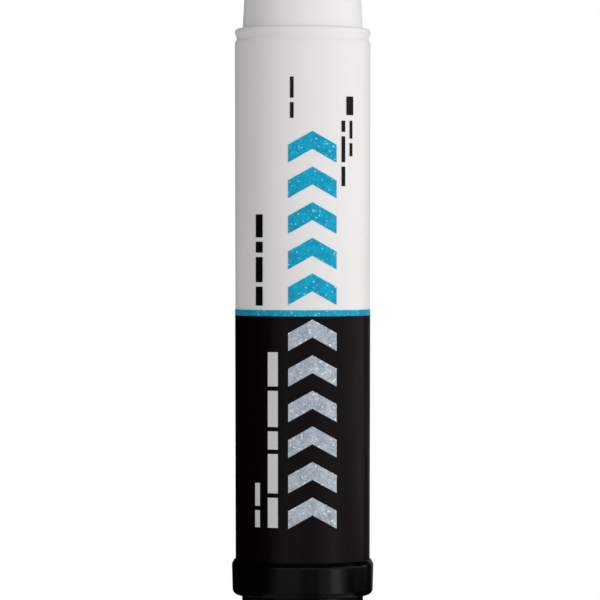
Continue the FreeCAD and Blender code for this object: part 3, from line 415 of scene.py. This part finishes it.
def floor_finish():
    """Pale matt floor that keeps the shadow near the foot and turns plain white further out."""
    finish, tree = new_finish("pale_floor")
    away = vector_maths(tree, "LENGTH", {0: own_place(tree)})["Value"]
    path = add_node(tree, "ShaderNodeLightPath").outputs["Is Camera Ray"]
    far = ramp(tree, away, SHADOW_FROM, SHADOW_TO, 0.0, 1.0)
    share = maths(tree, "MULTIPLY", far, path)
    matt = add_node(tree, "ShaderNodeBsdfDiffuse", None, {"Color": linear("#F4F4F4")})
    white = add_node(tree, "ShaderNodeEmission", None, {"Color": WHITE, "Strength": 1.0})
    mixed = add_node(tree, "ShaderNodeMixShader", None, {
        0: share, 1: matt.outputs[0], 2: white.outputs[0],
    })
    add_node(tree, "ShaderNodeOutputMaterial", None, {"Surface": mixed.outputs[0]})
    return finish


def card_finish(name, colour, strength):
    """An even card: felt that is nearly black, a grey, or a lit strip of cloth."""
    finish, tree = new_finish(name)
    inputs = {"Color": linear(colour), "Strength": strength}
    glow = add_node(tree, "ShaderNodeEmission", None, inputs)
    add_node(tree, "ShaderNodeOutputMaterial", None, {"Surface": glow.outputs[0]})
    return finish


def studio_piece(name, points, faces, finish):
    """A piece of the studio from its points and faces."""
    mesh = bpy.data.meshes.new(name)
    mesh.from_pydata(points, [], faces)
    mesh.materials.append(finish)
    card = put(name, mesh)
    return card


def level_card(name, half, height, finish):
    """A level square over the middle, with half its side and its height."""
    corners = [(x * half, y * half, height) for x, y in ((-1, -1), (1, -1), (1, 1), (-1, 1))]
    return studio_piece(name, corners, [(0, 1, 2, 3)], finish)


def curved_card(name, start, end, line, finish):
    """A card bent round the dispenser between two azimuths, along a line of distances and heights."""
    points, faces = [], []
    for i in range(CARD_STEPS + 1):
        turn = math.radians(start + (end - start) * i / CARD_STEPS)
        across, towards = math.sin(turn), -math.cos(turn)
        points += [(away * across, away * towards, height) for away, height in line]
    row = len(line)
    for i in range(CARD_STEPS):
        for j in range(row - 1):
            first = row * i + j
            faces.append((first, first + row, first + row + 1, first + 1))
    return studio_piece(name, points, faces, finish)


def hide_card(card):
    """Leaves a card in the reflections only: it gives no light and casts no shadow."""
    card.visible_camera = False
    card.visible_diffuse = False
    card.visible_shadow = False


studio_world()
level_card("studio_floor", FLOOR_HALF, FLOOR_HEIGHT, floor_finish())

felt = card_finish("black_felt_card", "#101010", 1.0)
cloth = card_finish("lit_strip_card", "#FFFFFF", 2.6)
haze = card_finish("grey_card", "#FFFFFF", 0.26)
dusk = card_finish("pale_grey_card", "#FFFFFF", 0.22)

foot = (FOOT_AWAY, CARD_LOW)
skirting = (WALL_AWAY, CARD_LOW)
cornice = (WALL_AWAY, WALL_TOP)
CARDS = (
    ("left_card", -50, -180, (foot, skirting, cornice), felt),
    ("right_card", 126, 150, (foot, skirting, cornice), felt),
    ("edge_card", 150, 180, (foot, skirting, cornice), haze),
    ("near_card", 70, 126, (foot, (NEAR_AWAY, CARD_LOW)), felt),
    ("upper_card", 25, 126, ((WALL_AWAY, 0.4), cornice), felt),
    ("shoulder_card", 96, 126, ((WALL_AWAY, 0.15), (WALL_AWAY, 0.4)), felt),
    ("strip_card", 43, 60, ((0.05, 0.0015), (NEAR_AWAY, 0.0015)), cloth),
    ("front_card", -4, 24, (foot, skirting), dusk),
    ("low_left_card", -50, -40, (foot, skirting), dusk),
)
for name, start, end, line, finish in CARDS:
    hide_card(curved_card(name, start, end, line, finish))
hide_card(level_card("ceiling_card", CEILING_HALF, WALL_TOP, felt))

for name, azimuth, height, distance, side, power in LAMPS:
    softbox(name, azimuth, height, distance, side, power)


# Glitter flakes

FLAKE_SIDES = 6
FLAKE_RADIUS = 0.13 * MM
FLAKE_THICKNESS = 0.02 * MM
FLAKE_TILT = 0.38
SMALLEST_FLAKE, LARGEST_FLAKE = 0.6, 1.15
LEAST_OUTWARD = 0.9


def random_number(tree, seed, low=0.0, high=1.0):
    """A number by chance for each instance."""
    settings = {"data_type": "FLOAT"}
    inputs = {2: low, 3: high, "Seed": seed}
    return add_node(tree, "FunctionNodeRandomValue", settings, inputs).outputs[1]


def close_shape(tree, label, geometry, finish):
    """Makes the instances real, gives them their finish and joins them to the output."""
    real = add_node(tree, "GeometryNodeRealizeInstances", None, {"Geometry": geometry})
    done = add_node(tree, "GeometryNodeSetMaterial", None, {
        "Geometry": real.outputs["Geometry"], "Material": finish,
    })
    add_node(tree, "NodeGroupOutput", None, {label: done.outputs["Geometry"]})


def flake_tree(finish):
    """Flakes scattered over the outward faces of a print, each tipped and scaled by chance."""
    tree = bpy.data.node_groups.new("glitter_flakes", "GeometryNodeTree")
    for label, kind, start in (
        ("Print", "NodeSocketGeometry", None),
        ("Flakes per square metre", "NodeSocketFloat", 1.0),
        ("Flake radius", "NodeSocketFloat", FLAKE_RADIUS),
        ("Flake thickness", "NodeSocketFloat", FLAKE_THICKNESS),
        ("Largest tilt", "NodeSocketFloat", FLAKE_TILT),
        ("Seed", "NodeSocketInt", 1),
    ):
        socket = tree.interface.new_socket(label, in_out="INPUT", socket_type=kind)
        if start is not None:
            socket.default_value = start
    tree.interface.new_socket("Flakes", in_out="OUTPUT", socket_type="NodeSocketGeometry")
    given = add_node(tree, "NodeGroupInput").outputs
    normal = add_node(tree, "GeometryNodeInputNormal").outputs["Normal"]
    spot = add_node(tree, "GeometryNodeInputPosition").outputs["Position"]
    level = vector_maths(tree, "MULTIPLY", {0: spot, 1: (1, 1, 0)})[0]
    level = vector_maths(tree, "NORMALIZE", {0: level})[0]
    facing = vector_maths(tree, "DOT_PRODUCT", {0: normal, 1: level})["Value"]
    outward = add_node(tree, "FunctionNodeCompare", {
        "data_type": "FLOAT", "operation": "GREATER_THAN",
    }, {"A": facing, "B": LEAST_OUTWARD})
    scattered = add_node(tree, "GeometryNodeDistributePointsOnFaces", None, {
        "Mesh": given["Print"], "Selection": outward.outputs["Result"],
        "Density": given["Flakes per square metre"], "Seed": given["Seed"],
    })
    flake = add_node(tree, "GeometryNodeMeshCylinder", None, {
        "Vertices": FLAKE_SIDES, "Radius": given["Flake radius"], "Depth": given["Flake thickness"],
    })
    tilt = given["Largest tilt"]
    back = maths(tree, "MULTIPLY", tilt, -1.0)
    low = add_node(tree, "ShaderNodeCombineXYZ", None, {"X": back, "Y": back, "Z": -math.pi})
    high = add_node(tree, "ShaderNodeCombineXYZ", None, {"X": tilt, "Y": tilt, "Z": math.pi})
    chance = add_node(tree, "FunctionNodeRandomValue", {"data_type": "FLOAT_VECTOR"}, {
        "Min": low.outputs[0], "Max": high.outputs[0], "Seed": given["Seed"],
    })
    lean = add_node(tree, "FunctionNodeEulerToRotation", None, {"Euler": chance.outputs["Value"]})
    turned = add_node(tree, "FunctionNodeRotateRotation", {"rotation_space": "LOCAL"}, {
        "Rotation": scattered.outputs["Rotation"], "Rotate By": lean.outputs["Rotation"],
    })
    placed = add_node(tree, "GeometryNodeInstanceOnPoints", None, {
        "Points": scattered.outputs["Points"], "Instance": flake.outputs["Mesh"],
        "Rotation": turned.outputs["Rotation"],
        "Scale": random_number(tree, given["Seed"], SMALLEST_FLAKE, LARGEST_FLAKE),
    })
    # Each flake gets a share by chance, with which its finish mixes in a painted glint colour.
    tinted = add_node(tree, "GeometryNodeStoreNamedAttribute", {
        "data_type": "FLOAT", "domain": "INSTANCE",
    }, {
        "Geometry": placed.outputs["Instances"], "Name": "painted_flake_glint",
        "Value": random_number(tree, given["Seed"]),
    })
    close_shape(tree, "Flakes", tinted.outputs["Geometry"], finish)
    return tree


def plain_result(piece, name, tree, values):
    """The plain mesh that a Geometry Nodes tree makes of a piece, which is removed.

    The values go to the tree's inputs by the identifiers of their sockets.
    """
    modifier = piece.modifiers.new(name, "NODES")
    modifier.node_group = tree
    for item in tree.interface.items_tree:
        if item.item_type == "SOCKET" and item.in_out == "INPUT" and item.name in values:
            modifier[item.identifier] = values[item.name]
    bpy.context.view_layer.update()
    shown = piece.evaluated_get(bpy.context.evaluated_depsgraph_get())
    mesh = bpy.data.meshes.new_from_object(shown)
    mesh.name = name
    bpy.data.objects.remove(piece)
    return put(name, mesh)


def scatter_flakes(name, prints, finish, density, seed):
    """Flakes over one or more printed nodes, as one plain mesh on the dispenser."""
    stock = bmesh.new()
    for print_name in prints:
        stock.from_mesh(nodes[print_name].data)
    bmesh.ops.remove_doubles(stock, verts=stock.verts, dist=1e-7)
    mesh = bpy.data.meshes.new(name + "_stock")
    stock.to_mesh(mesh)
    stock.free()
    flakes = plain_result(put(name + "_stock", mesh), name, flake_tree(finish), {
        "Flakes per square metre": density, "Flake radius": FLAKE_RADIUS,
        "Flake thickness": FLAKE_THICKNESS, "Largest tilt": FLAKE_TILT, "Seed": seed,
    })
    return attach(flakes, "dispenser")


blue_prints, silver_prints = ("blue_chevrons", "blue_stripe"), ("silver_chevrons",)
scatter_flakes("blue_flakes", blue_prints, blue_flake, density=1.1e6, seed=3)
scatter_flakes("silver_flakes", silver_prints, silver_flake, density=2.4e6, seed=7)


# Return spring

SPRING_WIRE = 0.8 * MM
SPRING_TURNS = 7.0
COIL_POINTS = 320
WIRE_SIDES = 14
CLOSED_SHARE = 0.02


def coil_tree(finish):
    """A compression spring with closed end turns, round the upright axis."""
    tree = bpy.data.node_groups.new("return_coil", "GeometryNodeTree")
    for label, start in (
        ("Coil radius", 0.009), ("Wire diameter", SPRING_WIRE), ("Turns", SPRING_TURNS),
        ("Low", 0.0), ("High", 0.02),
    ):
        socket = tree.interface.new_socket(label, in_out="INPUT", socket_type="NodeSocketFloat")
        socket.default_value = start
    tree.interface.new_socket("Coil", in_out="OUTPUT", socket_type="NodeSocketGeometry")
    given = add_node(tree, "NodeGroupInput").outputs
    line = add_node(tree, "GeometryNodeCurvePrimitiveLine")
    points = add_node(tree, "GeometryNodeResampleCurve", None, {
        "Curve": line.outputs["Curve"], "Count": COIL_POINTS,
    })
    along = add_node(tree, "GeometryNodeSplineParameter").outputs["Factor"]
    angle = maths(tree, "MULTIPLY", maths(tree, "MULTIPLY", along, given["Turns"]), FULL_TURN)
    x = maths(tree, "MULTIPLY", maths(tree, "COSINE", angle), given["Coil radius"])
    y = maths(tree, "MULTIPLY", maths(tree, "SINE", angle), given["Coil radius"])
    rise = add_node(tree, "ShaderNodeMapRange", {"interpolation_type": "SMOOTHSTEP"}, {
        "Value": along, "From Min": CLOSED_SHARE, "From Max": 1 - CLOSED_SHARE,
        "To Min": 0.0, "To Max": 1.0,
    })
    wire_half = maths(tree, "MULTIPLY", given["Wire diameter"], 0.5)
    z = add_node(tree, "ShaderNodeMapRange", None, {
        "Value": rise.outputs["Result"],
        "To Min": maths(tree, "ADD", given["Low"], wire_half),
        "To Max": maths(tree, "SUBTRACT", given["High"], wire_half),
    })
    spot = add_node(tree, "ShaderNodeCombineXYZ", None, {"X": x, "Y": y, "Z": z.outputs["Result"]})
    moved = add_node(tree, "GeometryNodeSetPosition", None, {
        "Geometry": points.outputs["Curve"], "Position": spot.outputs[0],
    })
    section = add_node(tree, "GeometryNodeCurvePrimitiveCircle", {"mode": "RADIUS"}, {
        "Resolution": WIRE_SIDES, "Radius": wire_half,
    })
    wire = add_node(tree, "GeometryNodeCurveToMesh", None, {
        "Curve": moved.outputs["Geometry"], "Profile Curve": section.outputs["Curve"],
        "Fill Caps": True,
    })
    smooth = add_node(tree, "GeometryNodeSetShadeSmooth", None, {"Geometry": wire.outputs["Mesh"]})
    close_shape(tree, "Coil", smooth.outputs["Geometry"], finish)
    return tree


def return_coil():
    """The spring under the button, made anew in place of the hidden return spring part."""
    low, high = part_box("return_spring")
    stock = put("coil_stock", bpy.data.meshes.new("coil_stock"))
    coil = plain_result(stock, "return_coil", coil_tree(wire_steel), {
        "Coil radius": high.x - SPRING_WIRE / 2, "Wire diameter": SPRING_WIRE,
        "Turns": SPRING_TURNS, "Low": low.z, "High": high.z,
    })
    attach(coil, "dispenser")
    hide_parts("return_spring")
    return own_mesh(coil)


return_coil()


# Toothpaste, in three pieces: in the follower's dish, in the barrel and under the pump's inlet

PASTE_SIDES = 96
PASTE_RINGS = 40
PASTE_GAP = 0.05 * MM
RIPPLE_DEPTH = 0.02 * MM
RIPPLE_RATE = 37
CROWN_INSET, LIP_INSET, NECK_INSET = 1.1 * MM, 0.8 * MM, 1.35 * MM


def turned_shell(name, profile, steps, finish):
    """A closed turned mesh from a profile of radius and height that starts and ends on the axis."""
    shell = bmesh.new()
    turns = [FULL_TURN * i / steps for i in range(steps)]
    rings = []
    for radius, height in profile:
        spots = [(radius * math.cos(turn), radius * math.sin(turn), height) for turn in turns]
        if radius == 0:
            spots = [(0, 0, height)]
        rings.append([shell.verts.new(spot) for spot in spots])
    for lower, upper in zip(rings, rings[1:]):
        for i in range(steps):
            corners = [lower[i % len(lower)], lower[(i + 1) % len(lower)]]
            corners += [upper[(i + 1) % len(upper)], upper[i % len(upper)]]
            shell.faces.new(list(dict.fromkeys(corners)))
    bmesh.ops.recalc_face_normals(shell, faces=shell.faces)
    for face in shell.faces:
        face.smooth = True
    mesh = bpy.data.meshes.new(name)
    shell.to_mesh(mesh)
    shell.free()
    mesh.materials.append(finish)
    return put(name, mesh)


def paste_piece(name, profile, body_name):
    """A turned piece of the paste, on the body that it moves with."""
    piece = turned_shell(name, profile, PASTE_SIDES, paste)
    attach(piece, body_name)
    return piece


def all_paste():
    """The three pieces of paste; the one in the barrel runs from the follower's lip up to the pump
    housing.
    """
    low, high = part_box("toothpaste")
    lip_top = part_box("follower_piston")[1].z
    head_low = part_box("pump_housing")[0].z
    outer = high.x
    crown, lip_inside, neck = outer - CROWN_INSET, outer - LIP_INSET, outer - NECK_INSET
    paste_piece("paste_dish", [
        (0, low.z), (crown, low.z), (lip_inside, lip_top), (0, lip_top),
    ], "follower")
    paste_piece("paste_neck", [
        (0, head_low), (neck, head_low), (neck, high.z), (0, high.z),
    ], "dispenser")
    bottom, top = lip_top + PASTE_GAP, head_low - PASTE_GAP
    profile = [(0, bottom), (outer, bottom)]
    for i in range(1, PASTE_RINGS):
        share = i / PASTE_RINGS
        ripple = RIPPLE_DEPTH * (1 + math.sin(RIPPLE_RATE * share))
        profile.append((outer - ripple, bottom + (top - bottom) * share))
    profile += [(outer, top), (0, top)]
    column = paste_piece("paste_column", profile, "dispenser")
    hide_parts("toothpaste")
    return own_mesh(column)


all_paste()

bpy.context.scene.view_settings.view_transform = "Standard"
